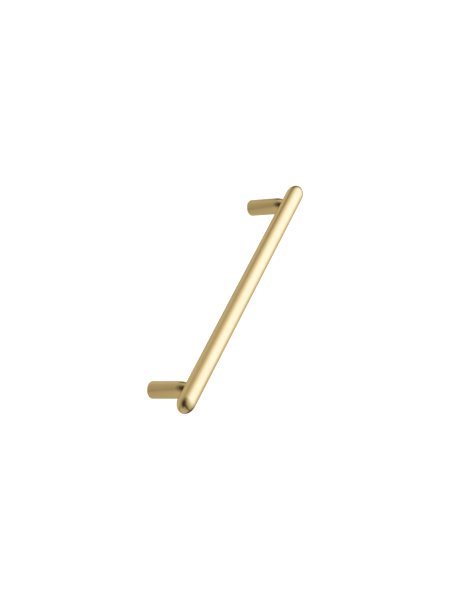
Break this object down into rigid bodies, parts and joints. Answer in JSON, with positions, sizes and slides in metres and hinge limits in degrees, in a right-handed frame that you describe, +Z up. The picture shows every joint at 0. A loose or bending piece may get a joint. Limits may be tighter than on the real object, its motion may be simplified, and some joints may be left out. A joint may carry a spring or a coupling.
{
  "type": "cabinet pull",
  "caption": "Round brass bar pull with long domed ends, carried on round posts whose ends are rounded in and cut to the bar's curve.",
  "frame": {"origin": "on the mounting face, halfway between the axes of the two screw holes", "axes": "+X along the bar, +Y into the drawer front, along the screws, +Z up"},
  "size_m": [0.194, 0.033, 0.0104],
  "materials": {
    "satin_brass": "satin, brushed fine",
    "stud_steel": "plain"
  },
  "bodies": {
    "root": {"grip_bar": "satin_brass", "left_post": "satin_brass", "right_post": "satin_brass", "joining_studs": "stud_steel"}
  },
  "joints": []
}
